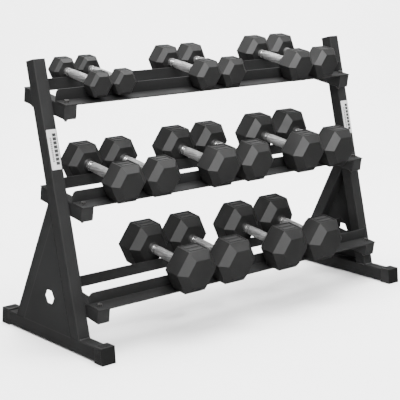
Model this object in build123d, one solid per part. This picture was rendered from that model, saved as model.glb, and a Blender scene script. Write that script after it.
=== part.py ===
from build123d import *
from math import atan, cos, degrees, radians, sin, sqrt, tan
import os

# ---------------------------------------------------------------- frame tube and overall size
TUBE = 40.0
WALL = 2.0
TUBE_R = 3.0
FRAME_WIDTH = 1230.0
CAP_SOLE = 4.0
FOOT_TUBE_LENGTH = 501.0
POST_X = FRAME_WIDTH / 2 - TUBE / 2
ARM_X = POST_X - TUBE
RAIL_LENGTH = 2 * (ARM_X + TUBE / 2)
FOOT_TOP = CAP_SOLE + TUBE
PLUG_FACE = 2.0
PLUG_DEPTH = 10.0

# ---------------------------------------------------------------- uprights, braces, side plates
LEAN = degrees(atan(0.246))
POST_FRONT_Y = -142.0
POST_LENGTH = 787.0
BRACE_LEAN = 26.5
BRACE_REAR_Y = 177.5
BRACE_LENGTH = 520.0
PLATE_THICK = 3.0
PLATE_TUCK = 4.0
PLATE_HOLE_Y = -1.0
PLATE_HOLE_Z = 138.0
PLATE_HOLE_FLATS = 40.0

# ---------------------------------------------------------------- shelves: arms and rails
SHELF_TILT = 8.5
ARM_LENGTH = 203.5
ARM_FRONT_TOP = {"top": (-45.2, 683.9), "middle": (-114.2, 407.6), "bottom": (-182.1, 129.8)}
RAIL_THICK = 3.5
RAIL_LEG = {"front": 36.0, "rear": 35.0}
RAIL_FLANGE = {"front": 51.0, "rear": 47.0}
RAIL_OVERHANG = 2.5
RAIL_ROOT_R = 1.0
LEG_CORNER_R = 12.0
FRONT_BOLT_U = 22.0
REAR_BOLT_U = 186.5

# ---------------------------------------------------------------- M8 fasteners
BOLT_D = 8.0
BOLT_FLATS = 13.0
BOLT_HEAD = 5.3
BOLT_HOLE = 9.0
WASHER_D = 16.0
WASHER_THICK = 1.6
NUT_HEIGHT = 6.5
BOLT_TAIL = 5.0
FIT_GAP = 0.2

# ---------------------------------------------------------------- foot caps
CAP_SIDE = 3.5
CAP_TOP = 5.5
CAP_END = 5.0
CAP_LENGTH = 39.5
CAP_RAKE = 5.0
CAP_EDGE_R = 2.0
RIB_PITCH = 5.4
RIB_GROOVE = 2.4
RIB_DEPTH = 1.3
RIB_MARGIN = 3.5
SIDE_RIBS = 8
TOP_RIBS = 7

# ---------------------------------------------------------------- name plates on the uprights
LABEL_WIDTH = 32.0
LABEL_LENGTH = 112.0
LABEL_THICK = 0.8
LABEL_R = 2.0
LABEL_CENTRE = {"left": 533.0, "right": 508.0}

# ---------------------------------------------------------------- dumbbells
GRIP_GAP = 127.0
GRIP_CENTRE_U = 107.75
REST_GAP = 0.3
TENON_DEPTH = 18.0
TENON_STEP = 2.0
PANEL_RIM = 4.5
PANEL_DEPTH = 2.0
STRIP_HEIGHT = 1.3
STRIP_SHARE_X = 0.76
STRIP_SHARE_Y = 0.2
BOSS_HEIGHT = 3.0
BOSS_WIDTH = 6.0
BOSS_TOP_WIDTH = 2.0
# tier, number -> position along the rack, across flats, head length, end bevel, grip diameter
DUMBBELLS = {
    ("top", 1): (-453.5, 70.0, 49.0, 9.0, 26.0),
    ("top", 2): (-368.5, 70.0, 49.0, 9.0, 26.0),
    ("top", 3): (-64.0, 85.5, 67.0, 13.5, 28.0),
    ("top", 4): (38.7, 85.5, 67.0, 13.5, 28.0),
    ("top", 5): (321.0, 96.5, 74.5, 15.0, 29.0),
    ("top", 6): (438.5, 96.5, 74.5, 15.0, 29.0),
    ("middle", 1): (-433.0, 108.0, 79.5, 17.0, 30.0),
    ("middle", 2): (-303.0, 108.0, 79.5, 17.0, 30.0),
    ("middle", 3): (-79.0, 116.0, 88.5, 18.7, 30.0),
    ("middle", 4): (58.0, 116.0, 88.5, 18.7, 30.0),
    ("middle", 5): (276.5, 121.5, 92.5, 20.0, 30.0),
    ("middle", 6): (421.7, 121.5, 92.5, 20.0, 30.0),
    ("bottom", 1): (-253.0, 129.5, 97.5, 21.5, 30.0),
    ("bottom", 2): (-96.5, 129.5, 97.5, 21.5, 30.0),
    ("bottom", 3): (128.0, 131.0, 99.0, 22.5, 30.0),
    ("bottom", 4): (287.5, 131.0, 99.0, 22.5, 30.0),
}

SIDES = {"left": -1, "right": 1}
PLANES = {}
for tier_name, (front_y, front_z) in ARM_FRONT_TOP.items():
    PLANES[tier_name] = Plane(
        origin=(0, front_y, front_z),
        x_dir=(1, 0, 0),
        z_dir=(0, -sin(radians(SHELF_TILT)), cos(radians(SHELF_TILT))),
    )


def save(name, *solids):
    """Write one node; several equal pieces share it."""
    shape = solids[0] if len(solids) == 1 else Compound(children=list(solids))
    shape.label = name
    export_step(shape, "parts/" + name + ".step")


def outer_bar(length):
    """Full section of the square tube, along +Z."""
    return extrude(RectangleRounded(TUBE, TUBE, TUBE_R), length)


def square_tube(length):
    """Hollow square tube, along +Z."""
    inner = TUBE - 2 * WALL
    return outer_bar(length) - extrude(RectangleRounded(inner, inner, TUBE_R - WALL), length)


def plug():
    """Push-in tube cap: its face lies on z = 0..PLUG_FACE, its plug reaches below."""
    inner = TUBE - 2 * WALL - 2 * FIT_GAP
    face = extrude(RectangleRounded(TUBE, TUBE, TUBE_R), PLUG_FACE)
    stem = extrude(RectangleRounded(inner, inner, TUBE_R - WALL), -PLUG_DEPTH)
    stem -= extrude(RectangleRounded(inner - 2 * WALL, inner - 2 * WALL, 1.0), -PLUG_DEPTH)
    return face + stem


def below(height):
    """Everything under a level, for trimming tube ends."""
    big = 4 * TUBE
    return Pos(0, 0, height - big / 2) * Box(FRAME_WIDTH + big, FRAME_WIDTH, big)


def post_plane(side):
    """Upright axis: origin on the foot's top at the front face's level, z up the tube, y rearward."""
    lean = radians(LEAN)
    half = TUBE / 2
    return Plane(
        origin=(side * POST_X, POST_FRONT_Y + half * cos(lean), FOOT_TOP - half * sin(lean)),
        x_dir=(1, 0, 0),
        z_dir=(0, sin(lean), cos(lean)),
    )


def brace_plane(side):
    """Brace axis: rises forward from the foot to the upright."""
    lean = radians(BRACE_LEAN)
    half = TUBE / 2
    return Plane(
        origin=(side * POST_X, BRACE_REAR_Y - half * cos(lean), FOOT_TOP - half * sin(lean)),
        x_dir=(1, 0, 0),
        z_dir=(0, -sin(lean), cos(lean)),
    )


def on_plane(plane, shape):
    return plane.location * shape


def upright(side):
    tube = Pos(0, 0, -TUBE) * square_tube(POST_LENGTH - PLUG_FACE + TUBE)
    return on_plane(post_plane(side), tube) - below(FOOT_TOP)


def upright_cap(side):
    return on_plane(post_plane(side), Pos(0, 0, POST_LENGTH - PLUG_FACE) * plug())


def ahead_of_post_back(side):
    """The half space in front of the upright's rear face."""
    reach = 2 * POST_LENGTH
    block = Pos(0, TUBE / 2 - reach / 2, POST_LENGTH / 2) * Box(2 * TUBE, reach, reach)
    return on_plane(post_plane(side), block)


def brace_body(side, bar):
    placed = on_plane(brace_plane(side), Pos(0, 0, -TUBE) * bar)
    return placed - below(FOOT_TOP) - ahead_of_post_back(side)


def foot_bar(side, bar):
    lay = Pos(side * POST_X, FOOT_TUBE_LENGTH / 2, CAP_SOLE + TUBE / 2) * Rot(90, 0, 0)
    return lay * bar


def side_plate(side):
    """Web plate between upright, brace and foot, flush with the tubes' outer faces."""
    post_back = POST_FRONT_Y + TUBE / cos(radians(LEAN))
    brace_front = BRACE_REAR_Y - (TUBE - PLATE_TUCK) / cos(radians(BRACE_LEAN))
    post_slope = tan(radians(LEAN))
    brace_slope = tan(radians(BRACE_LEAN))
    rise = (brace_front - post_back) / (post_slope + brace_slope)
    low = FOOT_TOP - PLATE_TUCK
    corners = [
        (post_back - PLATE_TUCK * post_slope, low),
        (brace_front + PLATE_TUCK * brace_slope, low),
        (post_back + rise * post_slope, FOOT_TOP + rise),
    ]
    outline = make_face(Polyline(*corners, close=True))
    hole = Pos(PLATE_HOLE_Y, PLATE_HOLE_Z) * RegularPolygon(PLATE_HOLE_FLATS / sqrt(3), 6)
    web = extrude(Plane.YZ * (outline - hole), PLATE_THICK)
    start = side * FRAME_WIDTH / 2 - (PLATE_THICK if side > 0 else 0)
    web = Pos(start, 0, 0) * web
    return web - brace_body(side, outer_bar(BRACE_LENGTH)) - foot_bar(side, outer_bar(FOOT_TUBE_LENGTH))


def foot_cap(side, end):
    """Ribbed slip-on cap at one end of a foot tube, its end face raked back towards the top."""
    width = TUBE + 2 * CAP_SIDE
    height = CAP_SOLE + TUBE + CAP_TOP
    half = CAP_LENGTH / 2
    profile = make_face(Polyline((-half, 0), (half, 0), (half, height), (CAP_RAKE - half, height), close=True))
    shell = Pos(-width / 2, 0, 0) * extrude(Plane.YZ * profile, width)
    shell = fillet(shell.edges(), CAP_EDGE_R)
    tongue = extrude(RectangleRounded(TUBE, TUBE, TUBE_R), CAP_LENGTH)
    shell -= Pos(0, CAP_LENGTH / 2 + CAP_END, CAP_SOLE + TUBE / 2) * Rot(90, 0, 0) * tongue
    groove_length = CAP_LENGTH - CAP_RAKE - 2 * RIB_MARGIN
    middle = CAP_RAKE / 2
    for index in range(SIDE_RIBS):
        level = height / 2 + (index - (SIDE_RIBS - 1) / 2) * RIB_PITCH
        groove = Box(2 * RIB_DEPTH, groove_length, RIB_GROOVE)
        shell -= Pos(side * width / 2, middle, level) * groove
    for index in range(TOP_RIBS):
        offset = (index - (TOP_RIBS - 1) / 2) * RIB_PITCH
        shell -= Pos(offset, middle, height) * Box(RIB_GROOVE, groove_length, 2 * RIB_DEPTH)
    if end > 0:
        shell = Rot(0, 0, 180) * mirror(shell, about=Plane.YZ)
    reach = FOOT_TUBE_LENGTH / 2 + CAP_END - CAP_LENGTH / 2
    return Pos(side * POST_X, end * reach, 0) * shell


def arm(tier, side):
    bar = Pos(0, ARM_LENGTH - PLUG_FACE, -TUBE / 2) * Rot(90, 0, 0)
    tube = bar * square_tube(ARM_LENGTH - 2 * PLUG_FACE)
    for along in (FRONT_BOLT_U, REAR_BOLT_U):
        tube -= Pos(0, along, -TUBE / 2) * Cylinder(BOLT_HOLE / 2, 2 * TUBE)
    return on_plane(PLANES[tier], Pos(side * ARM_X, 0, 0) * tube)


def arm_caps(tier, side):
    front = Pos(0, PLUG_FACE, -TUBE / 2) * Rot(90, 0, 0) * plug()
    back = Pos(0, ARM_LENGTH - PLUG_FACE, -TUBE / 2) * Rot(-90, 0, 0) * plug()
    place = Pos(side * ARM_X, 0, 0)
    return [on_plane(PLANES[tier], place * front), on_plane(PLANES[tier], place * back)]


def rail(tier, row):
    """Rolled angle: flange on the arms, leg between the two rows of heads, as two joined solids."""
    width = RAIL_FLANGE[row]
    leg = RAIL_LEG[row]
    points = [
        (0, 0),
        (width, 0),
        (width, leg),
        (width - RAIL_THICK, leg),
        (width - RAIL_THICK, RAIL_THICK),
        (0, RAIL_THICK),
    ]
    section = make_face(Polyline(*points, close=True))
    for corner in ((width, 0, 0), (width - RAIL_THICK, RAIL_THICK, 0)):
        section = fillet(section.vertices().sort_by_distance(corner)[0], RAIL_ROOT_R)
    angle = Pos(-RAIL_LENGTH / 2, -RAIL_OVERHANG, 0) * extrude(Plane.YZ * section, RAIL_LENGTH)
    tips = angle.edges().filter_by(Axis.Y).group_by(Axis.Z)[-1]
    angle = fillet(tips, LEG_CORNER_R)
    bolt_u = FRONT_BOLT_U if row == "front" else ARM_LENGTH - REAR_BOLT_U
    for side in SIDES.values():
        angle -= Pos(side * ARM_X, bolt_u, 0) * Cylinder(BOLT_HOLE / 2, TUBE)
    if row == "rear":
        angle = Pos(0, ARM_LENGTH, 0) * Rot(0, 0, 180) * angle
    foot = width - RAIL_OVERHANG - RAIL_THICK - RAIL_ROOT_R
    seam = foot if row == "front" else ARM_LENGTH - foot
    halves = split(angle, bisect_by=Plane.XZ.offset(-seam), keep=Keep.BOTH)
    return [on_plane(PLANES[tier], half) for half in halves.solids()]


def bolt_places():
    for tier in ARM_FRONT_TOP:
        for side in SIDES.values():
            for along in (FRONT_BOLT_U, REAR_BOLT_U):
                yield PLANES[tier].location * Pos(side * ARM_X, along, 0)


def bolt():
    top = RAIL_THICK + WASHER_THICK
    bottom = -TUBE - NUT_HEIGHT - BOLT_TAIL
    hexagon = RegularPolygon(BOLT_FLATS / sqrt(3), 6)
    head = Pos(0, 0, top) * extrude(hexagon, BOLT_HEAD)
    head &= Pos(0, 0, top + BOLT_HEAD / 2) * Cylinder(BOLT_FLATS / sqrt(3) - FIT_GAP, BOLT_HEAD)
    shank = Pos(0, 0, bottom) * extrude(Circle(BOLT_D / 2), top - bottom)
    shank = chamfer(shank.edges().sort_by(Axis.Z)[0], 1.0)
    return head + shank


def washer():
    ring = Circle(WASHER_D / 2) - Circle(BOLT_D / 2 + FIT_GAP)
    return Pos(0, 0, RAIL_THICK) * extrude(ring, WASHER_THICK)


def nut():
    ring = RegularPolygon(BOLT_FLATS / sqrt(3), 6) - Circle(BOLT_D / 2 + FIT_GAP)
    return Pos(0, 0, -TUBE - NUT_HEIGHT) * extrude(ring, NUT_HEIGHT)


def label(name, side):
    plate = extrude(RectangleRounded(LABEL_WIDTH, LABEL_LENGTH, LABEL_R), LABEL_THICK)
    face = Pos(0, -TUBE / 2, LABEL_CENTRE[name]) * Rot(90, 0, 0)
    return on_plane(post_plane(side), face * plate)


def head(flats, length, bevel, collar):
    """Hexagonal head behind the grip, its inner face on y = GRIP_GAP / 2."""
    inner = GRIP_GAP / 2
    section = Plane(origin=(0, inner, 0), x_dir=(1, 0, 0), z_dir=(0, 1, 0))
    body = extrude(section * RegularPolygon(flats / sqrt(3), 6), length)
    rims = body.faces().sort_by(Axis.Y)
    body = chamfer(rims[0].edges() + rims[-1].edges(), bevel)
    panel_x = flats / sqrt(3) - 2 * PANEL_RIM
    panel_y = length - 2 * bevel - PANEL_RIM
    middle = inner + length / 2
    body -= Pos(0, middle, flats / 2) * Box(panel_x, panel_y, 2 * PANEL_DEPTH)
    strip = Box(STRIP_SHARE_X * panel_x, STRIP_SHARE_Y * panel_y, STRIP_HEIGHT)
    for row in (-1, 1):
        offset = middle + row * STRIP_SHARE_Y * panel_y
        body += Pos(0, offset, flats / 2 - PANEL_DEPTH + STRIP_HEIGHT / 2) * strip
    if flats / 2 - collar - BOSS_WIDTH > max(RAIL_LEG.values()) - RAIL_THICK:
        boss = Cone(collar + BOSS_TOP_WIDTH, collar + BOSS_WIDTH, BOSS_HEIGHT)
        boss = Pos(0, inner - BOSS_HEIGHT / 2, 0) * Rot(-90, 0, 0) * boss
        body += boss
        body -= Pos(0, inner - BOSS_HEIGHT / 2, 0) * Rot(90, 0, 0) * Cylinder(collar, BOSS_HEIGHT)
    tenon = Cylinder(collar - TENON_STEP, TENON_DEPTH)
    return body - Pos(0, inner + TENON_DEPTH / 2, 0) * Rot(90, 0, 0) * tenon


def handle(grip, collar):
    """Turned bar: tenons in the heads, collars, a groove and ring each side, a crowned grip."""
    inner = GRIP_GAP / 2
    half = [
        (0, inner + TENON_DEPTH),
        (collar - TENON_STEP, inner + TENON_DEPTH),
        (collar - TENON_STEP, inner),
        (collar, inner),
        (collar, inner - 11),
        (collar - 1.6, inner - 12.5),
        (collar - 1.6, inner - 14),
        (collar, inner - 15),
        (collar, inner - 19),
        (collar - 1.2, inner - 20),
        (collar - 1.2, inner - 21),
        (grip - 0.9, inner - 22),
    ]
    mirrored = [(r, -y) for r, y in reversed(half)]
    crown = ThreePointArc(half[-1], (grip, 0), mirrored[0])
    outline = Polyline(*half) + crown + Polyline(*mirrored) + Line(mirrored[-1], half[0])
    return revolve(make_face(outline), Axis.Y)


def place_dumbbell(tier, number):
    """Rest on the flanges, or on the rail legs where the heads are too small to reach down."""
    along, flats, _, _, grip = DUMBBELLS[(tier, number)]
    collar = grip / 2 - 1
    on_flange = RAIL_THICK + flats / 2
    on_legs = max(RAIL_LEG.values()) + REST_GAP + collar
    return PLANES[tier].location * Pos(along, GRIP_CENTRE_U, max(on_flange, on_legs))


def build_rack():
    for name, side in SIDES.items():
        save(name + "_upright", upright(side))
        save(name + "_foot_tube", foot_bar(side, square_tube(FOOT_TUBE_LENGTH)))
        save(name + "_rear_brace", brace_body(side, square_tube(BRACE_LENGTH)))
        save(name + "_side_plate", side_plate(side))
        for tier in ARM_FRONT_TOP:
            save(name + "_arm_" + tier, arm(tier, side))
    for tier in ARM_FRONT_TOP:
        for row in RAIL_LEG:
            save(tier + "_" + row + "_rail", *rail(tier, row))
    sides = SIDES.values()
    save("foot_caps", *[foot_cap(side, end) for side in sides for end in (-1, 1)])
    save("upright_caps", *[upright_cap(side) for side in sides])
    plugs = [cap for tier in ARM_FRONT_TOP for side in sides for cap in arm_caps(tier, side)]
    save("arm_end_caps", *plugs)
    save("shelf_bolts", *[place * bolt() for place in bolt_places()])
    save("shelf_washers", *[place * washer() for place in bolt_places()])
    save("shelf_nuts", *[place * nut() for place in bolt_places()])
    save("name_plates", *[label(name, side) for name, side in SIDES.items()])


def build_dumbbells():
    for (tier, number), (_, flats, length, bevel, grip) in DUMBBELLS.items():
        collar = grip / 2 - 1
        place = place_dumbbell(tier, number)
        back = head(flats, length, bevel, collar)
        front = mirror(back, about=Plane.XZ)
        name = tier + "_dumbbell_" + str(number)
        save(name + "_heads", place * front, place * back)
        save(name + "_handle", place * handle(grip / 2, collar))


os.makedirs("parts", exist_ok=True)
build_rack()
build_dumbbells()
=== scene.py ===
from math import cos, radians, sin, sqrt, tan, tau

import bmesh
import bpy
from mathutils import Matrix, Vector


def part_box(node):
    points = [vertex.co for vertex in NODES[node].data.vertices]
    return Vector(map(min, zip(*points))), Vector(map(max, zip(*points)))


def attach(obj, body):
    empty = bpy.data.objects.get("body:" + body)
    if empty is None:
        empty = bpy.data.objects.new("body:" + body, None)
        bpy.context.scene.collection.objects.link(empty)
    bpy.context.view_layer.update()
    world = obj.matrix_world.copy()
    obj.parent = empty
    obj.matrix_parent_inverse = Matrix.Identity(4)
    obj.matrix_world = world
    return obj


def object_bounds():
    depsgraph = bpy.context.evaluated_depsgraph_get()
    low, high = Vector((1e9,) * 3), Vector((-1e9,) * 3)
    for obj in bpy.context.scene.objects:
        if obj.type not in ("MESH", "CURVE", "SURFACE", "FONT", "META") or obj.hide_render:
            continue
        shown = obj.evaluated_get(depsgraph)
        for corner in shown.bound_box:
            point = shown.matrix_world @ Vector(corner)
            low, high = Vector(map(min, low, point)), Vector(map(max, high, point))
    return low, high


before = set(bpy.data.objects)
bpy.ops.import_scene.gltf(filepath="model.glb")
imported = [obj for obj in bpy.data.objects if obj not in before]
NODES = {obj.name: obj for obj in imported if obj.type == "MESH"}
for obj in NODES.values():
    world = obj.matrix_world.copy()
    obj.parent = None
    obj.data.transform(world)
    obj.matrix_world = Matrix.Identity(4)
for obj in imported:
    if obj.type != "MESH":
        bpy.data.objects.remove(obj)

CAD_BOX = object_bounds()

# ---------------------------------------------------------------- camera
CAMERA_AT = Vector((-2.39597, -2.70385, 1.13233))
CAMERA_YAW = -0.715212
CAMERA_PITCH = -0.218576
CAMERA_LENS = 106.092
SENSOR = 36.0

# ---------------------------------------------------------------- facts shared with the frame
TIERS = ("top", "middle", "bottom")
SHELF_TILT = radians(8.5)
SHELF_UP = Vector((0, -sin(SHELF_TILT), cos(SHELF_TILT)))
SHELF_BACK = Vector((0, cos(SHELF_TILT), sin(SHELF_TILT)))
POST_X = 0.595
# Radians, within 0.0002 of the upright's own lean.
POST_LEAN = 0.2414
TUBE = 0.04
# Half the gap between a dumbbell's heads.
GRIP_HALF = 0.0635
# Each name plate's middle along the upright's direction, from the frame's origin.
PLATE_MIDDLE = {"left": 0.5418, "right": 0.5168}

# ---------------------------------------------------------------- surface details
# Along a handle, from the head's inner face; the knurl starts 0.5 mm past the collar's end.
KNURL_FROM_HEAD = 0.0225
GROOVES_FROM_HEAD = (0.0208, 0.0132)
# Half-widths: a groove's painted shade is darkest inside the first, and leaves no mark beyond the second.
GROOVE_CORE = 0.0008
GROOVE_EDGE = 0.0015
# Knurl ridges round the bar, and radians of their slant per metre along it.
KNURL_ROUND = 34.0
KNURL_ALONG = 2300.0
# Depths below a head's upper flat: the panel lies between the first two, its strips above the third.
PANEL_LIP = 0.0003
PANEL_FLOOR = 0.0026
STRIP_FLOOR = 0.0014
FACES_UP = 0.9
HEAD_EDGE = 0.0022
# A foot cap's end face leans in by 0.101; this takes in slightly more of its rounded top edge.
CAP_RAKE = 0.11
CAP_END_SKIN = 0.0012

# ---------------------------------------------------------------- weld beads
WELD_RADIUS = 0.0022
SIDE_WELD_RADIUS = 0.0018
WELD_STEP = 0.0022
WELD_INSET = 0.004
ARM_WELD = (0.008, 0.040)
FOOT_WELD_END = 0.0372
BRACE_WELD_END = 0.0407
RING_SIDES = 8
RIPPLE_DEPTH = 0.16
RIPPLE_TURN = 2.1
# Any direction that no weld runs along.
OFF_AXIS = Vector((0.31, 0.52, 0.79))

# ---------------------------------------------------------------- stage
SWEEP_FRONT = -7.0
SWEEP_BEND_AT = 2.2
SWEEP_BEND_R = 1.6
SWEEP_TOP = 6.0
SWEEP_HALF_WIDTH = 7.0
SWEEP_STEPS = 16
AIR_STRENGTH = 0.12
# Name, place, what it points at, size in metres, watts.
SOFTBOXES = (
    ("overhead", (0.0, 0.0, 4.4), (0.0, 0.2, 0), (5.0, 5.0), 820.0),
    ("backdrop", (0.4, 0.6, 4.6), (2.6, 3.0, 0.9), (3.0, 1.5), 420.0),
    ("camera_fill", (-2.7, -3.5, 1.9), (0, 0, 0.45), (2.4, 1.8), 104.0),
    ("top_right_kicker", (-1.35, -3.25, 2.65), (0.4, 0, 0.75), (0.7, 0.7), 165.0),
    ("left_wash", (-3.6, 0.2, 0.5), (-0.6, 0, 0.15), (2.0, 1.0), 16.0),
)


# ---------------------------------------------------------------- node helpers
class Shader:
    """A small builder for one procedural material."""

    def __init__(self, name):
        self.material = bpy.data.materials.new(name)
        self.material.use_nodes = True
        self.tree = self.material.node_tree
        self.bsdf = self.tree.nodes["Principled BSDF"]
        self.where = self.add("ShaderNodeTexCoord").outputs["Object"]

    def add(self, kind, inputs=None, **settings):
        node = self.tree.nodes.new(kind)
        for key, value in settings.items():
            setattr(node, key, value)
        for key, value in (inputs or {}).items():
            self.feed(node.inputs[key], value)
        return node

    def feed(self, socket, value):
        if isinstance(value, bpy.types.NodeSocket):
            self.tree.links.new(value, socket)
        else:
            socket.default_value = value

    def math(self, operation, a, b=0.0):
        return self.add("ShaderNodeMath", {0: a, 1: b}, operation=operation).outputs[0]

    def dot(self, a, b):
        node = self.add("ShaderNodeVectorMath", {0: a, 1: b}, operation="DOT_PRODUCT")
        return node.outputs["Value"]

    def away_from(self, point):
        """Position measured from a point of the frame."""
        return self.add("ShaderNodeVectorMath", {0: self.where, 1: point}, operation="SUBTRACT").outputs[0]

    def noise(self, scale, detail=2.0, rough=0.5, stretch=None):
        vector = self.where
        if stretch:
            vector = self.add("ShaderNodeMapping", {"Vector": vector, "Scale": stretch}).outputs[0]
        inputs = {"Vector": vector, "Scale": scale, "Detail": detail, "Roughness": rough}
        return self.add("ShaderNodeTexNoise", inputs).outputs["Fac"]

    def ramp(self, value, low, high, out_low, out_high):
        inputs = {0: value, 1: low, 2: high, 3: out_low, 4: out_high}
        return self.add("ShaderNodeMapRange", inputs, clamp=True).outputs[0]

    def mix(self, factor, a, b):
        node = self.add("ShaderNodeMix", {"Factor": factor}, data_type="RGBA")
        self.feed(node.inputs[6], a)
        self.feed(node.inputs[7], b)
        return node.outputs[2]

    def bump(self, height, distance, strength=1.0, normal=None):
        inputs = {"Height": height, "Distance": distance, "Strength": strength}
        if normal is not None:
            inputs["Normal"] = normal
        return self.add("ShaderNodeBump", inputs).outputs["Normal"]

    def edges(self, radius):
        """1 at sharp edges, 0 on flat faces."""
        bevel = self.add("ShaderNodeBevel", {"Radius": radius}, samples=4).outputs[0]
        flat = self.add("ShaderNodeNewGeometry").outputs["Normal"]
        return self.ramp(self.dot(bevel, flat), 0.999, 0.93, 0.0, 1.0)

    def finish(self, **values):
        for key, value in values.items():
            self.feed(self.bsdf.inputs[key.replace("_", " ")], value)
        return self.material


def grey(level, warm=0.0):
    return (level * (1 + warm), level, level * (1 - warm), 1.0)


# ---------------------------------------------------------------- materials
def powder_coat():
    s = Shader("charcoal_powder_coat")
    cloud = s.noise(9.0, 4.0)
    speck = s.noise(900.0, 2.0)
    tone = s.mix(s.ramp(cloud, 0.35, 0.65, 0, 1), grey(0.0135), grey(0.0165, -0.01))
    tone = s.mix(s.ramp(speck, 0.6, 0.75, 0, 0.35), tone, grey(0.02))
    # Painted highlight: sharp edges are made paler, as if light caught the frame's corners.
    tone = s.mix(s.math("MULTIPLY", s.edges(0.0018), 0.35), tone, grey(0.045))
    rough = s.ramp(s.math("ADD", cloud, s.math("MULTIPLY", speck, 0.4)), 0.5, 0.9, 0.44, 0.56)
    peel = s.bump(s.noise(420.0, 1.0), 0.00035, 0.35)
    grain = s.bump(speck, 0.0002, 0.3, peel)
    return s.finish(Base_Color=tone, Roughness=rough, Normal=grain, IOR=1.2)


def head_rubber(node):
    """Moulded rubber. In the panels sunk in the upper faces, only the raised strips are paler."""
    s = Shader("rubber_" + node)
    low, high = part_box(node)
    half_flats = (high.x - low.x) * sqrt(3) / 4
    height = s.dot(s.away_from((low + high) / 2), tuple(SHELF_UP))
    facing = s.dot(s.add("ShaderNodeNewGeometry").outputs["Normal"], tuple(SHELF_UP))
    level = s.math("GREATER_THAN", facing, FACES_UP)
    sunk = s.math("LESS_THAN", height, half_flats - PANEL_LIP)
    above = s.math("GREATER_THAN", height, half_flats - PANEL_FLOOR)
    panel = s.math("MULTIPLY", level, s.math("MULTIPLY", sunk, above))
    strip = s.math("GREATER_THAN", height, half_flats - STRIP_FLOOR)
    cloud = s.noise(14.0, 5.0, 0.6)
    grain = s.noise(1300.0, 2.0)
    scuff = s.ramp(s.noise(60.0, 4.0, 0.7, (1.0, 0.25, 1.6)), 0.60, 0.78, 0, 1)
    tone = s.mix(s.ramp(cloud, 0.3, 0.7, 0, 1), grey(0.010), grey(0.013, 0.01))
    tone = s.mix(s.math("MULTIPLY", scuff, 0.18), tone, grey(0.02))
    tone = s.mix(s.math("MULTIPLY", s.edges(0.002), 0.2), tone, grey(0.02))
    tone = s.mix(panel, tone, s.mix(strip, grey(0.012), grey(0.024)))
    rough = s.math("ADD", s.ramp(cloud, 0.3, 0.7, 0.42, 0.50), s.math("MULTIPLY", scuff, 0.08))
    soft = s.bump(s.noise(55.0, 2.0), 0.0012, 0.12)
    fine = s.bump(grain, 0.00015, 0.45, soft)
    return s.finish(Base_Color=tone, Roughness=rough, Normal=fine, IOR=1.4)


def cap_plastic():
    """Black moulded plastic, rougher on the raked end faces, which also carry painted shade that darkens
    them.
    """
    s = Shader("black_moulded_plastic")
    cloud = s.noise(30.0, 3.0)
    reach = s.math("ABSOLUTE", s.dot(s.where, (0, 1, 0)))
    reach = s.math("ADD", reach, s.math("MULTIPLY", s.dot(s.where, (0, 0, 1)), CAP_RAKE))
    # Painted shade: this mask makes the raked end faces near black; it also makes them rougher.
    rough_end_with_painted_shade = s.math("GREATER_THAN", reach, CAD_BOX[1].y - CAP_END_SKIN)
    tone = s.mix(s.ramp(cloud, 0.35, 0.65, 0, 1), grey(0.014), grey(0.018))
    tone = s.mix(s.math("MULTIPLY", s.edges(0.0012), 0.3), tone, grey(0.022))
    tone = s.mix(rough_end_with_painted_shade, tone, grey(0.003))
    rough = s.math("ADD", s.ramp(cloud, 0.3, 0.7, 0.42, 0.5), s.math("MULTIPLY", rough_end_with_painted_shade, 0.25))
    skin = s.bump(s.noise(1600.0, 2.0), 0.00012, 0.5)
    return s.finish(Base_Color=tone, Roughness=rough, Normal=skin, IOR=1.35)


def black_fastener():
    s = Shader("black_oxide_steel")
    cloud = s.noise(220.0, 4.0)
    tone = s.mix(s.ramp(cloud, 0.35, 0.7, 0, 1), grey(0.06), grey(0.14, 0.03))
    tone = s.mix(s.math("MULTIPLY", s.edges(0.0006), 0.5), tone, grey(0.3))
    rough = s.ramp(cloud, 0.3, 0.7, 0.28, 0.42)
    lathe = s.bump(s.noise(2500.0, 2.0), 0.00008, 0.5)
    return s.finish(Base_Color=tone, Roughness=rough, Normal=lathe, Metallic=0.85)


def bar_row(s, x, along, offset, half_width, per_metre, half_length):
    """Plain printed bars in one row along the plate."""
    near = s.math("LESS_THAN", s.math("ABSOLUTE", s.math("SUBTRACT", x, offset)), half_width)
    inside = s.math("LESS_THAN", s.math("ABSOLUTE", along), half_length)
    dash = s.math("GREATER_THAN", s.math("FRACT", s.math("MULTIPLY", along, per_metre)), 0.2)
    return s.math("MULTIPLY", s.math("MULTIPLY", near, inside), dash)


def plate_with_bars():
    s = Shader("brushed_name_plate")
    across = s.dot(s.where, (1, 0, 0))
    right = s.math("GREATER_THAN", across, 0.0)
    x = s.math("SUBTRACT", across, s.ramp(right, 0, 1, -POST_X, POST_X))
    along = s.dot(s.where, (0, sin(POST_LEAN), cos(POST_LEAN)))
    along = s.math("SUBTRACT", along, s.ramp(right, 0, 1, PLATE_MIDDLE["left"], PLATE_MIDDLE["right"]))
    streak = s.noise(700.0, 3.0, 0.6, (1.0, 0.04, 0.04))
    metal = s.mix(s.ramp(streak, 0.3, 0.7, 0, 1), grey(0.62), grey(0.80))
    row = bar_row(s, x, along, offset=0.0066, half_width=0.0058, per_metre=88.0, half_length=0.045)
    line = bar_row(s, x, along, offset=-0.0060, half_width=0.0030, per_metre=170.0, half_length=0.034)
    print_mask = s.math("MAXIMUM", row, s.math("MULTIPLY", line, 0.75))
    tone = s.mix(print_mask, metal, grey(0.02))
    rough = s.math("ADD", s.ramp(streak, 0.3, 0.7, 0.3, 0.42), s.math("MULTIPLY", print_mask, 0.2))
    metallic = s.ramp(print_mask, 0, 1, 0.35, 0.0)
    brush = s.bump(streak, 0.00006, 0.5)
    return s.finish(Base_Color=tone, Roughness=rough, Metallic=metallic, Normal=brush)


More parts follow.
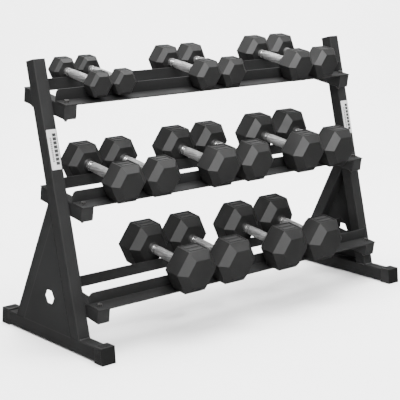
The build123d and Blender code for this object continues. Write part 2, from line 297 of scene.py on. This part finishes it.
def chrome_handle(node):
    """Polished, grooved collars with painted shade in the grooves, and a knurled grip, wrapped round this
    handle's own axis.
    """
    s = Shader("chrome_" + node)
    low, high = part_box(node)
    local = s.away_from((low + high) / 2)
    along = s.dot(local, tuple(SHELF_BACK))
    turn = s.math("ARCTAN2", s.dot(local, (1, 0, 0)), s.dot(local, tuple(SHELF_UP)))
    from_middle = s.math("ABSOLUTE", along)
    grip = s.math("LESS_THAN", from_middle, GRIP_HALF - KNURL_FROM_HEAD)
    round_bar = s.math("MULTIPLY", turn, KNURL_ROUND)
    down_bar = s.math("MULTIPLY", along, KNURL_ALONG)
    threads = [s.math("SINE", s.math(way, round_bar, down_bar)) for way in ("ADD", "SUBTRACT")]
    knurl = s.math("MULTIPLY", s.math("MAXIMUM", *threads), grip)
    haze = s.noise(40.0, 4.0, 0.6)
    fine = s.noise(900.0, 2.0, 0.5, (1.0, 0.1, 1.0))
    streak = s.noise(330.0, 3.0, 0.6, (1.0, 0.05, 1.0))
    # Painted shade: the knurl's valleys are darkened.
    knurl_valley_painted_shade = s.math("MULTIPLY", s.ramp(knurl, 0.9, 0.2, 0.0, 0.5), grip)
    tone = s.mix(s.ramp(haze, 0.35, 0.65, 0, 1), grey(0.25), grey(0.34, 0.01))
    # Painted reflection: dark lengthwise streaks on the grip stand in for the stripes that a bright bar
    # reflects.
    tone = s.mix(s.math("MULTIPLY", s.ramp(streak, 0.42, 0.58, 0, 0.75), grip), tone, grey(0.09))
    tone = s.mix(knurl_valley_painted_shade, tone, grey(0.08))
    # Painted shade: a dark ring at each groove of the collar.
    for inset in GROOVES_FROM_HEAD:
        off = s.math("ABSOLUTE", s.math("SUBTRACT", from_middle, GRIP_HALF - inset))
        tone = s.mix(s.ramp(off, GROOVE_EDGE, GROOVE_CORE, 0, 0.8), tone, grey(0.03))
    polish = s.ramp(haze, 0.3, 0.7, 0.14, 0.22)
    rough = s.math("ADD", polish, s.math("MULTIPLY", grip, 0.24))
    bump = s.bump(knurl, 0.0004, 0.5)
    bump = s.bump(fine, 0.00005, 0.3, bump)
    metallic = s.ramp(grip, 0, 1, 0.7, 0.4)
    return s.finish(Base_Color=tone, Roughness=rough, Metallic=metallic, Normal=bump)


def weld_metal():
    s = Shader("painted_weld_bead")
    cloud = s.noise(300.0, 3.0)
    tone = s.mix(s.ramp(cloud, 0.35, 0.65, 0, 1), grey(0.022), grey(0.032))
    ripple = s.bump(s.noise(500.0, 2.0), 0.0006, 0.5)
    return s.finish(Base_Color=tone, Roughness=s.ramp(cloud, 0.3, 0.7, 0.4, 0.52), Normal=ripple)


def studio_paper():
    """Plain paper, clear from behind, so that the rack shows from every side."""
    s = Shader("studio_paper")
    behind = s.add("ShaderNodeNewGeometry").outputs["Backfacing"]
    tone = s.mix(s.ramp(s.noise(3.0, 2.0), 0.3, 0.7, 0, 1), grey(0.93), grey(0.95))
    return s.finish(
        Base_Color=tone, Roughness=0.9, Specular_IOR_Level=0.1, Alpha=s.math("SUBTRACT", 1.0, behind)
    )


def dress(obj, material):
    obj.data.materials.clear()
    obj.data.materials.append(material)


def soften(obj, width):
    """Round the sharp edges a little without moving a face."""
    bevel = obj.modifiers.new("edge", "BEVEL")
    bevel.width = width
    bevel.segments = 3
    bevel.limit_method = "ANGLE"
    bevel.angle_limit = radians(30)
    bevel.harden_normals = True


# ---------------------------------------------------------------- one weld bead
def bead(name, points, radius, material):
    """A rippled weld along a path: rings of swelling radius, skinned and capped."""
    mesh = bmesh.new()
    rings = []
    path = []
    for a, b in zip(points, points[1:]):
        count = max(1, int((b - a).length / WELD_STEP))
        path += [a.lerp(b, i / count) for i in range(count)]
    path.append(points[-1])
    for index, point in enumerate(path):
        ahead = path[min(index + 1, len(path) - 1)] - path[max(index - 1, 0)]
        ahead.normalize()
        side = ahead.cross(OFF_AXIS)
        side.normalize()
        other = ahead.cross(side)
        swell = radius * (1.0 + RIPPLE_DEPTH * sin(index * RIPPLE_TURN))
        ring = []
        for k in range(RING_SIDES):
            turn = tau * k / RING_SIDES
            ring.append(mesh.verts.new(point + swell * (cos(turn) * side + sin(turn) * other)))
        rings.append(ring)
    for first, second in zip(rings, rings[1:]):
        for k in range(RING_SIDES):
            j = (k + 1) % RING_SIDES
            mesh.faces.new((first[k], first[j], second[j], second[k]))
    for ring in (rings[0], rings[-1]):
        mesh.faces.new(ring)
    bmesh.ops.recalc_face_normals(mesh, faces=mesh.faces)
    data = bpy.data.meshes.new(name)
    mesh.to_mesh(data)
    mesh.free()
    for polygon in data.polygons:
        polygon.use_smooth = True
    obj = bpy.data.objects.new(name, data)
    bpy.context.scene.collection.objects.link(obj)
    dress(obj, material)
    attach(obj, "rack")


# ---------------------------------------------------------------- scene
def weld_frame(material):
    """Beads where the arms meet the uprights and the uprights and braces meet the feet."""
    for side, name in ((-1, "left"), (1, "right")):
        inner = side * (POST_X - TUBE / 2)
        post_low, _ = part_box(name + "_upright")
        _, brace_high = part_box(name + "_rear_brace")
        front, foot = post_low.y, post_low.z
        rear = brace_high.y
        for tier in TIERS:
            arm_low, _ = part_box(name + "_arm_" + tier)
            corner = Vector((inner, arm_low.y, arm_low.z + TUBE * cos(SHELF_TILT)))
            post_front = front + tan(POST_LEAN) * (corner.z - foot)
            start = (post_front - corner.y) / cos(SHELF_TILT)
            for height, label in ((0.0, "upper"), (-TUBE, "lower")):
                base = corner + SHELF_UP * height
                ends = [base + SHELF_BACK * (start + along) for along in ARM_WELD]
                bead(f"{name}_{tier}_arm_weld_{label}", ends, WELD_RADIUS, material)
        across = [side * POST_X + reach for reach in (WELD_INSET - TUBE / 2, TUBE / 2 - WELD_INSET)]
        ahead = [front + along for along in (WELD_INSET, FOOT_WELD_END)]
        behind = [rear - along for along in (BRACE_WELD_END, WELD_INSET)]
        runs = (
            ("_foot_weld_front", [(x, front) for x in across], WELD_RADIUS),
            ("_brace_weld_rear", [(x, rear) for x in across], WELD_RADIUS),
            ("_foot_weld_inner", [(inner, y) for y in ahead], SIDE_WELD_RADIUS),
            ("_brace_weld_inner", [(inner, y) for y in behind], SIDE_WELD_RADIUS),
        )
        for label, ends, radius in runs:
            bead(name + label, [Vector((x, y, foot)) for x, y in ends], radius, material)


def paint_nodes():
    coat = powder_coat()
    plastic = cap_plastic()
    oxide = black_fastener()
    for name, obj in NODES.items():
        if name.endswith("_heads"):
            dress(obj, head_rubber(name))
            soften(obj, HEAD_EDGE)
        elif name.endswith("_handle"):
            dress(obj, chrome_handle(name))
        elif name.endswith("_caps"):
            dress(obj, plastic)
        elif name.startswith("shelf_"):
            dress(obj, oxide)
        elif name == "name_plates":
            dress(obj, plate_with_bars())
        else:
            dress(obj, coat)


def lay_floor():
    """A paper sweep: floor in front, rising in one smooth curve behind the rack."""
    across = Vector((cos(CAMERA_YAW), sin(CAMERA_YAW), 0))
    away = Vector((-sin(CAMERA_YAW), cos(CAMERA_YAW), 0))
    profile = [(SWEEP_FRONT, 0.0), (SWEEP_BEND_AT, 0.0)]
    for index in range(1, SWEEP_STEPS + 1):
        turn = radians(90) * index / SWEEP_STEPS
        profile.append((SWEEP_BEND_AT + SWEEP_BEND_R * sin(turn), SWEEP_BEND_R * (1 - cos(turn))))
    profile.append((SWEEP_BEND_AT + SWEEP_BEND_R, SWEEP_TOP))
    points = []
    for along, height in profile:
        for side in (-SWEEP_HALF_WIDTH, SWEEP_HALF_WIDTH):
            points.append(across * side + away * along + Vector((0, 0, height)))
    faces = [(2 * i, 2 * i + 1, 2 * i + 3, 2 * i + 2) for i in range(len(profile) - 1)]
    data = bpy.data.meshes.new("paper_sweep")
    data.from_pydata(points, [], faces)
    for polygon in data.polygons:
        polygon.use_smooth = True
    sweep = bpy.data.objects.new("paper_sweep", data)
    bpy.context.scene.collection.objects.link(sweep)
    data.materials.append(studio_paper())
    sweep.visible_glossy = False


def softbox(name, at, towards, size, power):
    data = bpy.data.lights.new(name, "AREA")
    data.shape = "RECTANGLE"
    data.size, data.size_y = size
    data.energy = power
    lamp = bpy.data.objects.new(name, data)
    bpy.context.scene.collection.objects.link(lamp)
    lamp.location = at
    lamp.rotation_euler = (Vector(towards) - Vector(at)).to_track_quat("-Z", "Y").to_euler()


def light_studio():
    world = bpy.data.worlds.new("studio_air")
    bpy.context.scene.world = world
    world.use_nodes = True
    air = world.node_tree.nodes["Background"]
    air.inputs["Color"].default_value = grey(1.0)
    air.inputs["Strength"].default_value = AIR_STRENGTH
    for name, at, towards, size, power in SOFTBOXES:
        softbox(name, at, towards, size, power)


def set_camera():
    data = bpy.data.cameras.new("camera")
    data.lens = CAMERA_LENS
    data.sensor_width = SENSOR
    data.clip_end = 60
    camera = bpy.data.objects.new("camera", data)
    bpy.context.scene.collection.objects.link(camera)
    ahead = Vector(
        (
            -sin(CAMERA_YAW) * cos(CAMERA_PITCH),
            cos(CAMERA_YAW) * cos(CAMERA_PITCH),
            sin(CAMERA_PITCH),
        )
    )
    right = Vector((cos(CAMERA_YAW), sin(CAMERA_YAW), 0))
    up = right.cross(ahead)
    turn = Matrix((right, up, -ahead)).transposed().to_4x4()
    camera.matrix_world = Matrix.Translation(CAMERA_AT) @ turn
    bpy.context.scene.camera = camera


paint_nodes()
weld_frame(weld_metal())
lay_floor()
light_studio()
set_camera()
